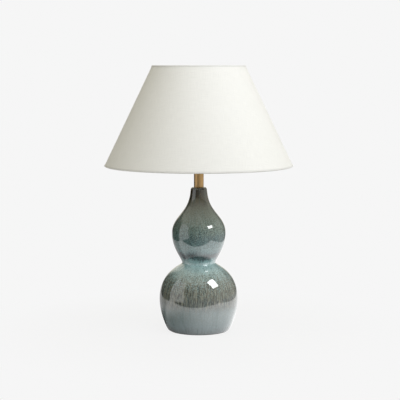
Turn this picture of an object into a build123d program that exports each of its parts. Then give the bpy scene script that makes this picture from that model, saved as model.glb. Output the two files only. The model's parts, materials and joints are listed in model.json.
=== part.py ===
from build123d import *

import os
from math import atan2, cos, hypot, pi, sin

# Double gourd table lamp: a glazed ceramic body on a felted foot, a brass neck tube, a socket with a
# turn key and its bulb, and a cone shade that hangs from a harp by its spider and finial.
#
# Millimetres, +Z up. The origin is the centre of the felt's underside, where the lamp stands.
# The harp stands in the XZ plane, the turn key points to -Y and the cord leaves towards +Y.

# ---------------------------------------------------------------- fits
SLIP = 0.05          # radial clearance of threads and of pieces pushed together by hand
TURN = 0.08          # radial clearance of a stem or screw that turns in its bore
LOOSE = 0.3          # clearance between pieces that move past each other, and round the shade's rings

# ---------------------------------------------------------------- foot
FELT_T = 2.0
FELT_R = 66.5
FOOT_ROUND = 1.2     # rounding of the foot's outer corner
RECESS_H = 18.0      # hollow under the floor, above the felt
FLOOR_T = 6.0
FLOOR_BORE_R = 7.0
PLATE_R = 30.0
PLATE_T = 1.5
LOCK_WASHER_R = 8.5
LOCK_WASHER_T = 1.4
BASE_NUT_FLATS = 14.3
BASE_NUT_H = 5.0
ROD_TAIL = 3.0       # rod left standing out under the base nut
ROD_HEAD = 1.0       # rod left standing out inside the socket's cap

# ---------------------------------------------------------------- ceramic body
# Stations of the outline: radius, level as a share of the body's height, and the reach of the curve's
# handles below and above, as shares of the rise to the next station. The outline stands upright at the
# belly, the waist and the bulb.
BODY_H = 324.5
WALL = 5.0
FOOT_R = 69.0
FOOT_ANGLE = 55.0    # rise of the outline at the foot, degrees above level
FOOT_REACH_SHARE = 0.086
BELLY_R = 88.0
BELLY_LEVEL_SHARE = 0.216
BELLY_REACH_DOWN_SHARE = 0.478
BELLY_REACH_UP_SHARE = 0.772
WAIST_R = 38.0
WAIST_LEVEL_SHARE = 0.465
WAIST_REACH_DOWN_SHARE = 0.062
WAIST_REACH_UP_SHARE = 0.206
BULB_R = 60.0
BULB_LEVEL_SHARE = 0.675
BULB_REACH_DOWN_SHARE = 0.5
BULB_REACH_UP_SHARE = 0.458
THROAT_R = 34.5
THROAT_LEVEL_SHARE = 0.84
THROAT_ANGLE = 36.0  # lean of the outline at the throat, degrees from upright
THROAT_REACH_DOWN_SHARE = 0.383
THROAT_REACH_UP_SHARE = 0.209
COLLAR_R = 18.5
COLLAR_LEVEL_SHARE = 0.98
COLLAR_REACH_DOWN_SHARE = 0.571
COLLAR_TAPER_RATIO = 0.077   # radius lost per unit of height at the collar
RIM_FLAT_R = 14.0    # flat top of the neck, inside its rounded rim
NECK_BORE_R = 7.6

# ---------------------------------------------------------------- cord grommet
CORD_H = 10.0        # height of the cord hole above the foot
CORD_BORE_R = 3.5
GROMMET_WALL = 1.3
GROMMET_FLANGE_R = 7.0
GROMMET_FLANGE_T = 1.2
GROMMET_SNOUT = 1.0  # bush left standing past the flanges

# ---------------------------------------------------------------- rod and neck
ROD_R = 4.9
ROD_BORE_R = 3.2
TUBE_R = 11.0
TUBE_WALL = 1.2
TUBE_H = 58.0
BUSH_FLANGE_T = 2.0
BUSH_SPIGOT_H = 9.0
TUBE_CAP_FLANGE_T = 1.5
TUBE_CAP_SPIGOT_H = 6.0

# ---------------------------------------------------------------- harp and its saddle
SADDLE_T = 1.6
SADDLE_W = 12.0
SADDLE_FLAT = 15.0   # half length of the level middle
SADDLE_RISE = 8.0
SADDLE_NUT_FLATS = 14.3
SADDLE_NUT_H = 4.0
PRONG_T = 1.6
PRONG_W = 3.0
PRONG_H = 17.0
HARP_WIRE_R = 1.6
HARP_H = 190.0       # from the saddle's underside to the top of the pad
HARP_LEG_X = 34.0
HARP_LEG_H = 35.0    # straight foot of each leg
HARP_BULGE_X = 56.0
HARP_BULGE_H = 32.0  # rise from the straight leg to the widest corner
HARP_SHOULDER_X = 50.0
HARP_SHOULDER_H = 32.0   # drop from the top run to the shoulder's corner
HARP_TOP_X = 15.0
HARP_FOOT_BEND = 30.0
HARP_BULGE_BEND = 80.0
HARP_SHOULDER_BEND = 45.0
HARP_TOP_BEND = 22.0
PAD_L = 16.0
PAD_W = 10.0
FERRULE_H = 13.0
FERRULE_WALL = 1.0
STUD_SEAT_R = 7.0
STUD_SEAT_T = 2.0
STUD_R = 3.1
STUD_H = 13.0
STUD_RIVET_R = 2.0
STUD_RIVET_HEAD_R = 3.4
STUD_RIVET_HEAD_T = 1.2

# ---------------------------------------------------------------- finial
FINIAL_FOOT_R = 7.5
FINIAL_FOOT_H = 2.5
FINIAL_WAIST_R = 4.6
FINIAL_KNOB_R = 6.5
FINIAL_TOP_WALL = 4.5    # brass left over the end of the stud

# ---------------------------------------------------------------- socket
CAP_HUB_R = 7.4
CAP_HUB_H = 8.0
CAP_DOME_H = 8.0
CAP_DOME_REACH = 5.0
CAP_LIP_H = 5.0      # straight lip that holds the shell
CAP_WALL = 0.8
SET_SCREW_R = 1.5
SET_SCREW_HEAD_R = 2.4
SET_SCREW_HEAD_T = 1.8
SET_SCREW_SLOT_W = 0.8
SHELL_R = 17.0
SHELL_WALL = 0.6
SHELL_H = 44.0
SHELL_LAP = 4.0      # how deep the shell stands in the cap
KEY_SLOT_GAP = 0.6   # room round the key's stem in the shell and the sleeve
SLEEVE_WALL = 0.8
SLEEVE_SHORT = 1.0   # shell left standing above the sleeve
CORE_R = 14.6
CORE_H = 20.0
CORE_LIFT = 4.0      # core's underside above the top of the cap's hub
CORE_COLLAR_H = 4.0  # wide top of the core, which fits the sleeve
CORE_FLAT = 11.5     # distance of the core's terminal flats from the axis
CORE_FLAT_H = 11.0
SCREW_SHELL_WALL = 0.5
SCREW_SHELL_H = 27.0
SCREW_SHELL_HOLE_R = 9.0
THREAD_PITCH = 3.6   # of the lamp thread, drawn as plain ribs
THREAD_DEPTH = 0.6
THREAD_PLAIN = 2.2   # plain stretch at each end of a ribbed shell
CONTACT_T = 0.5
CONTACT_W = 5.0
CONTACT_L = 12.0
CONTACT_SLOPE = 4.0  # length of the stretch that rises
CONTACT_LIFT = 3.0
CONTACT_RIVET_X = 4.0
CONTACT_RIVET_R = 1.2
CONTACT_RIVET_L = 4.0
TERMINAL_HEAD_R = 3.0
TERMINAL_HEAD_T = 1.6
TERMINAL_SHANK_R = 1.6
TERMINAL_SHANK_L = 5.0
TERMINAL_H = 5.0     # height of the terminals above the core's underside
KEY_STEM_R = 1.7
KEY_DEPTH = 9.0      # length of the stem inside the core
KEY_H = 13.0         # height of the stem above the core's underside
KEY_REACH = 33.0     # from the socket's axis to the key's outer end
KEY_KNOB_L = 13.0
KEY_KNOB_R = 5.2
KEY_KNOB_FLAT = 3.4  # half thickness of the key's pinched grip
KEY_GRIP_L = 9.0

# ---------------------------------------------------------------- bulb
LAMP_CAP_R = 12.9
LAMP_CAP_WALL = 0.5
LAMP_CAP_H = 22.0
LAMP_BASE_H = 3.6    # black insulator between the cap and the contact
LAMP_BASE_R = 7.0
LAMP_TIP_R = 4.6
LAMP_TIP_T = 1.6
GLASS_R = 30.0
GLASS_H = 84.0       # glass above the cap
GLASS_T = 1.0
GLASS_NECK_R = 12.6
GLASS_SPIGOT_H = 4.0
GLASS_REACH_LOW = 22.0
GLASS_REACH_HIGH = 24.0

# ---------------------------------------------------------------- shade
SHADE_BOTTOM_R = 212.0
SHADE_TOP_R = 104.5
SHADE_H = 224.0
FABRIC_T = 0.6
LINER_T = 0.5
TRIM_T = 0.6
TRIM_BAND = 6.0      # how far the binding laps over each face of the skin
RING_WIRE_R = 1.5
SPIDER_DROP = 21.5   # shade's top edge above the washer's underside
SPIDER_ARMS = 3
SPIDER_WIRE_R = 1.4
SPIDER_STEP = 14.0   # how far inwards the arm comes down to the washer's level
SPIDER_BEND = 7.0
WASHER_R = 13.0
WASHER_T = 1.4
WASHER_BORE_R = 3.7
WASHER_LAP = 3.0     # length of each arm welded to the washer

# ---------------------------------------------------------------- levels
foot_z = FELT_T
cord_z = foot_z + CORD_H
floor_z = foot_z + RECESS_H
plate_z = floor_z - PLATE_T
lock_washer_z = plate_z - LOCK_WASHER_T
base_nut_z = lock_washer_z - BASE_NUT_H
rod_bottom_z = base_nut_z - ROD_TAIL
neck_z = foot_z + BODY_H
tube_top_z = neck_z + TUBE_H
saddle_z = tube_top_z + TUBE_CAP_FLANGE_T
saddle_nut_z = saddle_z + SADDLE_T
shelf_z = saddle_nut_z + SADDLE_RISE
cap_z = saddle_nut_z + SADDLE_NUT_H
cap_dome_z = cap_z + CAP_HUB_H
cap_lip_z = cap_dome_z + CAP_DOME_H
cap_top_z = cap_lip_z + CAP_LIP_H
rod_top_z = cap_dome_z + ROD_HEAD
shell_z = cap_top_z - SHELL_LAP
core_z = cap_dome_z + CORE_LIFT
core_top_z = core_z + CORE_H
terminal_z = core_z + TERMINAL_H
key_z = core_z + KEY_H
lamp_tip_z = core_top_z + CONTACT_LIFT + LOOSE
lamp_base_z = lamp_tip_z + LAMP_TIP_T
lamp_cap_z = lamp_base_z + LAMP_BASE_H
glass_z = lamp_cap_z + LAMP_CAP_H
harp_top_z = saddle_z + HARP_H
harp_run_z = harp_top_z - HARP_WIRE_R
washer_z = harp_top_z + STUD_SEAT_T
finial_z = washer_z + WASHER_T
stud_top_z = washer_z + STUD_H
finial_top_z = stud_top_z + LOOSE + FINIAL_TOP_WALL
shade_top_z = washer_z + SPIDER_DROP
shade_bottom_z = shade_top_z - SHADE_H

# ---------------------------------------------------------------- radii and places that follow
grommet_r = CORD_BORE_R + GROMMET_WALL
nut_bore_r = ROD_R + SLIP
tube_bore_r = TUBE_R - TUBE_WALL
prong_x = HARP_LEG_X - HARP_WIRE_R - PRONG_T / 2
ferrule_x = HARP_LEG_X - PRONG_T / 2
ferrule_bore_r = hypot(HARP_WIRE_R + PRONG_T / 2, PRONG_W / 2) + LOOSE
ferrule_r = ferrule_bore_r + FERRULE_WALL
shelf_x = ferrule_x - ferrule_r - LOOSE
shelf_end_x = ferrule_x + ferrule_r + LOOSE
cap_bore_r = SHELL_R + SLIP
cap_r = cap_bore_r + CAP_WALL
sleeve_r = SHELL_R - SHELL_WALL - SLIP
sleeve_bore_r = sleeve_r - SLEEVE_WALL
screw_shell_bore_r = LAMP_CAP_R + LOOSE
lamp_cap_root_r = LAMP_CAP_R - THREAD_DEPTH
lamp_cap_bore_r = lamp_cap_root_r - LAMP_CAP_WALL
glass_bulge_z = glass_z + GLASS_H - GLASS_R
skin_t = FABRIC_T + LINER_T
shade_lean = atan2(SHADE_BOTTOM_R - SHADE_TOP_R, SHADE_H)
shade_slant = hypot(SHADE_BOTTOM_R - SHADE_TOP_R, SHADE_H)

# The two edges of the shade's skin, seen in its section: x outwards through the skin, y into the shade.
skin_out = (cos(shade_lean), 0, sin(shade_lean))
bottom_edge = Plane((SHADE_BOTTOM_R, 0, shade_bottom_z), x_dir=skin_out, z_dir=(0, -1, 0))
top_edge = Plane((SHADE_TOP_R, 0, shade_top_z), x_dir=skin_out, z_dir=(0, 1, 0))
ring_room_r = RING_WIRE_R + LOOSE
ring_place = Pos(-skin_t - ring_room_r, ring_room_r)
FLUSH = (Align.MIN, Align.MIN)
STANDING = (Align.CENTER, Align.CENTER, Align.MIN)


def at(r, z):
    """Point of a half section, at radius r and height z, in the XZ plane."""
    return Vector(r, 0, z)


def turned(edges):
    """Solid of revolution about Z from the closed outline of a half section."""
    return revolve(make_face(Wire(edges)), Axis.Z)


def turned_polygon(*corners):
    """Solid of revolution about Z from the (radius, height) corners of a half section."""
    return turned(Polyline(*[at(r, z) for r, z in corners], close=True).edges())


def disc(r, z, height, bore_r=0.0):
    """Upright round disc, or a tube where it has a bore, with its underside at z."""
    solid = Pos(0, 0, z) * Cylinder(r, height, align=STANDING)
    if bore_r > 0:
        solid -= Pos(0, 0, z) * Cylinder(bore_r, height, align=STANDING)
    return solid


def hex_nut(flats, z, height):
    """Hexagonal nut on the rod, with its underside at z."""
    blank = extrude(Pos(0, 0, z) * RegularPolygon(flats / 2, 6, major_radius=False), height)
    return blank - disc(nut_bore_r, z, height)


def level_rod(r, y_start, y_end, z):
    """Round rod along Y, between two values of y, at height z."""
    return extrude(Plane((0, y_start, z), z_dir=(0, 1, 0)) * Circle(r), y_end - y_start)


def mirrored_pair(solid):
    """A solid and its mirror image across the YZ plane."""
    return [solid, solid.mirror(Plane.YZ)]


# ---------------------------------------------------------------- ceramic body and foot
def bow(low, low_handle, high_handle, high):
    """Curve up from one station to the next, with its handles as shares of the rise between them."""
    rise = high.Z - low.Z
    return Bezier(low, low + low_handle * rise, high - high_handle * rise, high)


def body_outline():
    """Outer outline of the ceramic from the foot's corner to the flat top of the neck."""
    up = at(0, 1)
    start = Vector(1, 0, 0).rotate(Axis.Y, -FOOT_ANGLE)
    lean = up.rotate(Axis.Y, -THROAT_ANGLE)
    taper = at(-COLLAR_TAPER_RATIO, 1)
    foot = at(FOOT_R, foot_z)
    belly = at(BELLY_R, foot_z + BELLY_LEVEL_SHARE * BODY_H)
    waist = at(WAIST_R, foot_z + WAIST_LEVEL_SHARE * BODY_H)
    bulb = at(BULB_R, foot_z + BULB_LEVEL_SHARE * BODY_H)
    throat = at(THROAT_R, foot_z + THROAT_LEVEL_SHARE * BODY_H)
    collar = at(COLLAR_R, foot_z + COLLAR_LEVEL_SHARE * BODY_H)
    return [
        bow(foot, start * FOOT_REACH_SHARE, up * BELLY_REACH_DOWN_SHARE, belly),
        bow(belly, up * BELLY_REACH_UP_SHARE, up * WAIST_REACH_DOWN_SHARE, waist),
        bow(waist, up * WAIST_REACH_UP_SHARE, up * BULB_REACH_DOWN_SHARE, bulb),
        bow(bulb, up * BULB_REACH_UP_SHARE, lean * THROAT_REACH_DOWN_SHARE, throat),
        bow(throat, lean * THROAT_REACH_UP_SHARE, taper * COLLAR_REACH_DOWN_SHARE, collar),
        Bezier(collar, collar + taper * (neck_z - collar.Z), at(RIM_FLAT_R, neck_z)),
    ]


def moved_outline(growth):
    """The outer outline moved outwards at right angles: points of each curve, splined again."""
    curves = []
    for curve in body_outline():
        points = []
        for share in (0, 0.25, 0.5, 0.75, 1):
            along = curve % share
            points.append(curve @ share + at(along.Z, -along.X) * growth)
        curves.append(Spline(*points, tangents=[curve % 0, curve % 1]))
    return curves


def body_form(growth=0.0):
    """The ceramic's outer form over a straight skirt below the foot, swollen by growth all over."""
    curves = moved_outline(growth) if growth else body_outline()
    foot = curves[0] @ 0
    rim = curves[-1] @ 1
    skirt_z = foot_z - WALL
    closing = Polyline(rim, at(0, rim.Z), at(0, skirt_z), at(foot.X, skirt_z), foot)
    return turned(curves + list(closing.edges()))


def make_ceramic_body():
    """Slip-cast body of even wall, with a floor over the foot's recess and bores for rod and cord."""
    outside = body_form() - disc(BELLY_R, foot_z - WALL, WALL)
    corner = outside.edges().filter_by(GeomType.CIRCLE).sort_by(Axis.Z)[0]
    outside = fillet(corner, FOOT_ROUND)
    floor = disc(BELLY_R, floor_z, FLOOR_T, FLOOR_BORE_R)
    hollow = body_form(-WALL) - floor
    body = outside - hollow
    body -= disc(NECK_BORE_R, neck_z - 2 * WALL, 2 * WALL)
    return body - level_rod(grommet_r, 0, BELLY_R, cord_z)


def make_base_felt():
    """Felt pad under the foot, which closes the recess."""
    return disc(FELT_R, 0, FELT_T)


def make_base_plate():
    """Steel disc that spreads the rod's pull over the floor's hole."""
    return disc(PLATE_R, plate_z, PLATE_T, nut_bore_r)


def make_base_lock_washer():
    return disc(LOCK_WASHER_R, lock_washer_z, LOCK_WASHER_T, nut_bore_r)


def make_base_nut():
    return hex_nut(BASE_NUT_FLATS, base_nut_z, BASE_NUT_H)


def make_cord_grommet():
    """Rubber bush in the foot's wall: its two flanges follow the wall, and its ends are square."""
    plug = level_rod(GROMMET_FLANGE_R, 0, BELLY_R, cord_z)
    outer_flange = (plug & body_form(GROMMET_FLANGE_T)) - body_form()
    inner_flange = (plug & body_form(-WALL)) - body_form(-WALL - GROMMET_FLANGE_T)
    inner_end = inner_flange.bounding_box().min.Y - GROMMET_SNOUT
    outer_end = outer_flange.bounding_box().max.Y + GROMMET_SNOUT
    bush = outer_flange + inner_flange + level_rod(grommet_r, inner_end, outer_end, cord_z)
    return bush - level_rod(CORD_BORE_R, inner_end, outer_end, cord_z)


# ---------------------------------------------------------------- rod and neck
def make_threaded_rod():
    """Hollow rod that clamps foot, body, neck and saddle together and carries the socket."""
    return disc(ROD_R, rod_bottom_z, rod_top_z - rod_bottom_z, ROD_BORE_R)


def make_neck_bush():
    """Stepped bush that centres the rod and the tube on the ceramic's neck."""
    flange = disc(tube_bore_r - SLIP, neck_z, BUSH_FLANGE_T)
    spigot = disc(NECK_BORE_R - SLIP, neck_z - BUSH_SPIGOT_H, BUSH_SPIGOT_H)
    return flange + spigot - disc(nut_bore_r, neck_z - BUSH_SPIGOT_H, BUSH_SPIGOT_H + BUSH_FLANGE_T)


def make_neck_tube():
    return disc(TUBE_R, neck_z, TUBE_H, tube_bore_r)


def make_tube_cap():
    """Stepped cap on the tube's top, under the saddle."""
    flange = disc(TUBE_R, tube_top_z, TUBE_CAP_FLANGE_T)
    spigot = disc(tube_bore_r - SLIP, tube_top_z - TUBE_CAP_SPIGOT_H, TUBE_CAP_SPIGOT_H)
    bore_h = TUBE_CAP_SPIGOT_H + TUBE_CAP_FLANGE_T
    return flange + spigot - disc(nut_bore_r, tube_top_z - TUBE_CAP_SPIGOT_H, bore_h)


# ---------------------------------------------------------------- harp and its saddle
def make_harp_saddle():
    """Strip with raised ends, each a shelf for a leg of the harp with a prong beside it."""
    half = [(SADDLE_FLAT, 0), (shelf_x, SADDLE_RISE), (shelf_end_x, SADDLE_RISE)]
    under = [at(-x, saddle_z + z) for x, z in reversed(half)] + [at(x, saddle_z + z) for x, z in half]
    over = [point + at(0, SADDLE_T) for point in reversed(under)]
    strip = extrude(make_face(Polyline(*under, *over, close=True)), SADDLE_W / 2, both=True)
    prong = Pos(prong_x, 0, shelf_z) * Box(PRONG_T, PRONG_W, PRONG_H, align=STANDING)
    return strip + mirrored_pair(prong) - disc(nut_bore_r, saddle_z, SADDLE_T)


def make_saddle_nut():
    return hex_nut(SADDLE_NUT_FLATS, saddle_nut_z, SADDLE_NUT_H)


def make_harp():
    """Wire hoop round the bulb with a flat pad at the top, bored for the stud's rivet."""
    bulge_z = shelf_z + HARP_LEG_H + HARP_BULGE_H
    half = [
        at(HARP_LEG_X, shelf_z),
        at(HARP_LEG_X, shelf_z + HARP_LEG_H),
        at(HARP_BULGE_X, bulge_z),
        at(HARP_SHOULDER_X, harp_run_z - HARP_SHOULDER_H),
        at(HARP_TOP_X, harp_run_z),
    ]
    bends = [HARP_FOOT_BEND, HARP_BULGE_BEND, HARP_SHOULDER_BEND, HARP_TOP_BEND]
    other_half = [Vector(-point.X, 0, point.Z) for point in reversed(half)]
    path = FilletPolyline(*half, *other_half, radius=bends + bends[::-1])
    wire = sweep(Plane(half[0], z_dir=(0, 0, 1)) * Circle(HARP_WIRE_R), path)
    pad = Pos(0, 0, harp_run_z) * Box(PAD_L, PAD_W, 2 * HARP_WIRE_R)
    return wire + pad - disc(STUD_RIVET_R, harp_run_z - HARP_WIRE_R, 2 * HARP_WIRE_R)


def make_ferrule(side):
    """Sleeve round a prong and the leg beside it, standing on the saddle's shelf."""
    return Pos(side * ferrule_x, 0, 0) * disc(ferrule_r, shelf_z, FERRULE_H, ferrule_bore_r)


def make_harp_stud():
    """Threaded stud riveted into the pad, with a seat for the spider's washer."""
    pad_z = harp_run_z - HARP_WIRE_R
    rivet = disc(STUD_RIVET_HEAD_R, pad_z - STUD_RIVET_HEAD_T, STUD_RIVET_HEAD_T)
    rivet += disc(STUD_RIVET_R, pad_z, 2 * HARP_WIRE_R)
    return rivet + disc(STUD_SEAT_R, harp_top_z, STUD_SEAT_T) + disc(STUD_R, washer_z, STUD_H)


def make_finial():
    """Low round knob screwed down on the spider's washer."""
    knob_z = finial_top_z - FINIAL_KNOB_R
    finial = disc(FINIAL_FOOT_R, finial_z, FINIAL_FOOT_H)
    finial += disc(FINIAL_WAIST_R, finial_z, knob_z - finial_z)
    finial += Pos(0, 0, knob_z) * Sphere(FINIAL_KNOB_R)
    return finial - disc(STUD_R + TURN, finial_z, stud_top_z + LOOSE - finial_z)


# ---------------------------------------------------------------- socket
def make_socket_cap():
    """Spun cup with a threaded hub below and a straight lip round the shell above."""
    inner_z = cap_dome_z + CAP_WALL
    out = at(CAP_DOME_REACH, 0)
    up = at(0, CAP_DOME_REACH)
    hub = at(CAP_HUB_R, cap_dome_z)
    hub_inside = at(CAP_HUB_R, inner_z)
    lip = at(cap_r, cap_lip_z)
    lip_inside = at(cap_bore_r, cap_lip_z)
    outline = [
        Polyline(at(nut_bore_r, cap_z), at(CAP_HUB_R, cap_z), hub),
        Bezier(hub, hub + out, lip - up, lip),
        Polyline(lip, at(cap_r, cap_top_z), at(cap_bore_r, cap_top_z), lip_inside),
        Bezier(lip_inside, lip_inside - up, hub_inside + out, hub_inside),
        Polyline(hub_inside, at(nut_bore_r, inner_z), at(nut_bore_r, cap_z)),
    ]
    cap = turned([edge for line in outline for edge in line.edges()])
    return cap - level_rod(SET_SCREW_R, 0, CAP_HUB_R, cap_z + CAP_HUB_H / 2)


def make_socket_set_screw():
    """Screw through the hub that grips the rod, with a slotted head."""
    z = cap_z + CAP_HUB_H / 2
    head_end = CAP_HUB_R + SET_SCREW_HEAD_T
    screw = level_rod(SET_SCREW_R, ROD_R, CAP_HUB_R, z)
    screw += level_rod(SET_SCREW_HEAD_R, CAP_HUB_R, head_end, z)
    slot = Box(2 * SET_SCREW_HEAD_R, SET_SCREW_HEAD_T, SET_SCREW_SLOT_W)
    return screw - Pos(0, head_end, z) * slot


def key_slot():
    """Slot for the key's stem, open below, through one side of a sleeve."""
    width = 2 * (KEY_STEM_R + KEY_SLOT_GAP)
    towards_key = (Align.CENTER, Align.MAX, Align.MIN)
    slot = Pos(0, 0, shell_z) * Box(width, SHELL_R, key_z - shell_z, align=towards_key)
    return slot + level_rod(width / 2, -SHELL_R, 0, key_z)


def make_socket_shell():
    return disc(SHELL_R, shell_z, SHELL_H, SHELL_R - SHELL_WALL) - key_slot()


def make_socket_sleeve():
    """Fibre sleeve that insulates the shell."""
    return disc(sleeve_r, shell_z, SHELL_H - SLEEVE_SHORT, sleeve_bore_r) - key_slot()


def make_socket_core():
    """Moulded switch body: a collar that fits the sleeve, two terminal flats, the key's bore."""
    core = disc(CORE_R, core_z, CORE_H)
    core += disc(sleeve_bore_r - SLIP, core_top_z - CORE_COLLAR_H, CORE_COLLAR_H)
    waste = Pos(CORE_FLAT, 0, core_z) * Box(
        CORE_R, 2 * CORE_R, CORE_FLAT_H, align=(Align.MIN, Align.CENTER, Align.MIN)
    )
    core -= mirrored_pair(waste)
    core -= terminal_shanks()
    core -= contact_rivet()
    return core - level_rod(KEY_STEM_R + TURN, -CORE_R, KEY_DEPTH - CORE_R, key_z)


def terminal_shanks():
    """Threaded parts of the two terminal screws, sunk in the core's flats."""
    plane = Plane((CORE_FLAT, 0, terminal_z), z_dir=(-1, 0, 0))
    return mirrored_pair(extrude(plane * Circle(TERMINAL_SHANK_R), TERMINAL_SHANK_L))


def make_terminal_screws():
    """Two wire screws, one on each flat of the core."""
    plane = Plane((CORE_FLAT, 0, terminal_z), z_dir=(1, 0, 0))
    heads = mirrored_pair(extrude(plane * Circle(TERMINAL_HEAD_R), TERMINAL_HEAD_T))
    return Compound([head + shank for head, shank in zip(heads, terminal_shanks())])


def ribs(r, z, height):
    """Outline of a ribbed wall going up from z: a plain stretch, round ribs, a plain stretch."""
    count = int((height - 2 * THREAD_PLAIN) / THREAD_PITCH)
    first = z + THREAD_PLAIN
    steps = [first + THREAD_PITCH * i for i in range(count + 1)]
    edges = [Line(at(r, z), at(r, first))]
    for low, high in zip(steps, steps[1:]):
        crest = at(r + THREAD_DEPTH, (low + high) / 2)
        edges.append(ThreePointArc(at(r, low), crest, at(r, high)))
    edges.append(Line(at(r, steps[-1]), at(r, z + height)))
    return edges


def make_screw_shell():
    """Ribbed metal cup on the core that takes the bulb's cap."""
    r = screw_shell_bore_r
    floor_top_z = core_top_z + SCREW_SHELL_WALL
    top_z = core_top_z + SCREW_SHELL_H
    outline = ribs(r + SCREW_SHELL_WALL, core_top_z, SCREW_SHELL_H) + ribs(r, core_top_z, SCREW_SHELL_H)
    outline += [Line(at(r, top_z), at(r + SCREW_SHELL_WALL, top_z))]
    outline += [Line(at(r, core_top_z), at(r + SCREW_SHELL_WALL, core_top_z))]
    wall = turned(outline)
    return wall + disc(r + SCREW_SHELL_WALL, core_top_z, floor_top_z - core_top_z, SCREW_SHELL_HOLE_R)


def contact_rivet():
    """Shank that holds the contact in the core."""
    return Pos(CONTACT_RIVET_X, 0, 0) * disc(CONTACT_RIVET_R, core_top_z - CONTACT_RIVET_L, CONTACT_RIVET_L)


def make_centre_contact():
    """Springy tongue riveted to the core, bent up under the bulb's tip."""
    half_l = CONTACT_L / 2
    half_slope = CONTACT_SLOPE / 2
    raised_z = core_top_z + CONTACT_LIFT - CONTACT_T
    seated = [at(half_l, core_top_z), at(half_slope, core_top_z)]
    raised = [at(-half_slope, raised_z), at(-half_l, raised_z)]
    under = seated + raised
    over = [point + at(0, CONTACT_T) for point in reversed(under)]
    tongue = extrude(make_face(Polyline(*under, *over, close=True)), CONTACT_W / 2, both=True)
    return tongue + contact_rivet()


def make_switch_stem():
    """Metal stem that turns in the core and carries the key."""
    return level_rod(KEY_STEM_R, KEY_KNOB_L / 2 - KEY_REACH, KEY_DEPTH - CORE_R - LOOSE, key_z)


def make_switch_key():
    """Moulded key: a round collar with a pinched grip."""
    outer_end = -KEY_REACH
    grip_end = outer_end + KEY_GRIP_L
    inner_end = outer_end + KEY_KNOB_L
    grip = level_rod(KEY_KNOB_R, outer_end, grip_end, key_z)
    grip &= Pos(0, outer_end, key_z) * Box(
        2 * KEY_KNOB_R, KEY_GRIP_L, 2 * KEY_KNOB_FLAT, align=(Align.CENTER, Align.MIN, Align.CENTER)
    )
    key = grip + level_rod(KEY_KNOB_R, grip_end, inner_end, key_z)
    return key - make_switch_stem()


# ---------------------------------------------------------------- bulb
def make_bulb_cap():
    """Ribbed metal cap of the bulb, open at both ends."""
    r = lamp_cap_root_r
    inside = [at(lamp_cap_bore_r, lamp_cap_z), at(lamp_cap_bore_r, glass_z)]
    closing = Polyline(at(r, lamp_cap_z), *inside, at(r, glass_z))
    return turned(ribs(r, lamp_cap_z, LAMP_CAP_H) + list(closing.edges()))


def make_bulb_base():
    """Black insulator that closes the cap's lower end and holds the tip."""
    spigot_top_z = lamp_cap_z + LAMP_BASE_H
    return turned_polygon(
        (0, lamp_base_z),
        (LAMP_BASE_R, lamp_base_z),
        (lamp_cap_root_r, lamp_cap_z),
        (lamp_cap_bore_r, lamp_cap_z),
        (lamp_cap_bore_r, spigot_top_z),
        (0, spigot_top_z),
    )


def make_bulb_tip():
    """Soldered contact under the bulb."""
    return fillet(disc(LAMP_TIP_R, lamp_tip_z, LAMP_TIP_T).edges().sort_by(Axis.Z)[0], LAMP_TIP_T / 2)


def glass_outline(neck_r, bulge_r):
    """Outline of one face of the bulb's glass, from its neck to its crown."""
    neck = at(neck_r, glass_z)
    bulge = at(bulge_r, glass_bulge_z)
    half_way = at(bulge_r * cos(pi / 4), glass_bulge_z + bulge_r * sin(pi / 4))
    crown = at(0, glass_bulge_z + bulge_r)
    return [
        Bezier(neck, neck + at(0, GLASS_REACH_LOW), bulge - at(0, GLASS_REACH_HIGH), bulge),
        ThreePointArc(bulge, half_way, crown),
    ]


def make_bulb_glass():
    """Blown glass: a pear form that stands on the cap, with a spigot inside it."""
    top_z = glass_bulge_z + GLASS_R
    spigot_z = glass_z - GLASS_SPIGOT_H
    inner_neck_r = lamp_cap_bore_r - GLASS_T
    foot = Polyline(
        at(GLASS_NECK_R, glass_z),
        at(lamp_cap_bore_r, glass_z),
        at(lamp_cap_bore_r, spigot_z),
        at(inner_neck_r, spigot_z),
        at(inner_neck_r, glass_z),
    )
    outer = glass_outline(GLASS_NECK_R, GLASS_R)
    inner = glass_outline(inner_neck_r, GLASS_R - GLASS_T)
    return turned(outer + inner + [Line(at(0, top_z - GLASS_T), at(0, top_z))] + list(foot.edges()))


# ---------------------------------------------------------------- shade
def skin(depth, thickness):
    """Layer of the shade's cone, whose outer face lies at a depth under the shade's outside."""
    return revolve(bottom_edge * Pos(-depth - thickness, 0) * Rectangle(thickness, shade_slant, align=FLUSH))


def ring(edge):
    """Wire ring inside the skin, beside one of the shade's edges."""
    return revolve(edge * ring_place * Circle(RING_WIRE_R))


def trim(edge):
    """Binding folded over one edge of the skin, round the ring and back to the skin's inner face."""
    inner_x = -skin_t - 2 * ring_room_r
    corners = [(0, TRIM_BAND), (0, 0), (inner_x, 0), (inner_x, 2 * ring_room_r), (-skin_t, TRIM_BAND)]
    core = make_face(Polyline(*corners, close=True))
    core = fillet(core.vertices().sort_by_distance((inner_x, 0))[0], ring_room_r)
    beyond = Pos(0, TRIM_BAND) * Rectangle(SHADE_TOP_R, TRIM_BAND, align=(Align.CENTER, Align.MIN))
    return revolve(edge * (offset(core, TRIM_T) - core - beyond))


def spider_arms():
    """Wires from the top ring down to the washer's level and in to the washer."""
    ring_centre = (top_edge * ring_place).position
    washer_mid_z = washer_z + WASHER_T / 2
    bend = at(ring_centre.X - SPIDER_STEP, washer_mid_z)
    end = at(WASHER_R - WASHER_LAP, washer_mid_z)
    path = FilletPolyline(ring_centre, bend, end, radius=SPIDER_BEND)
    arm = sweep(Plane(ring_centre, z_dir=bend - ring_centre) * Circle(SPIDER_WIRE_R), path)
    return [Rot(0, 0, 90 + 360 / SPIDER_ARMS * i) * arm for i in range(SPIDER_ARMS)]


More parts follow.
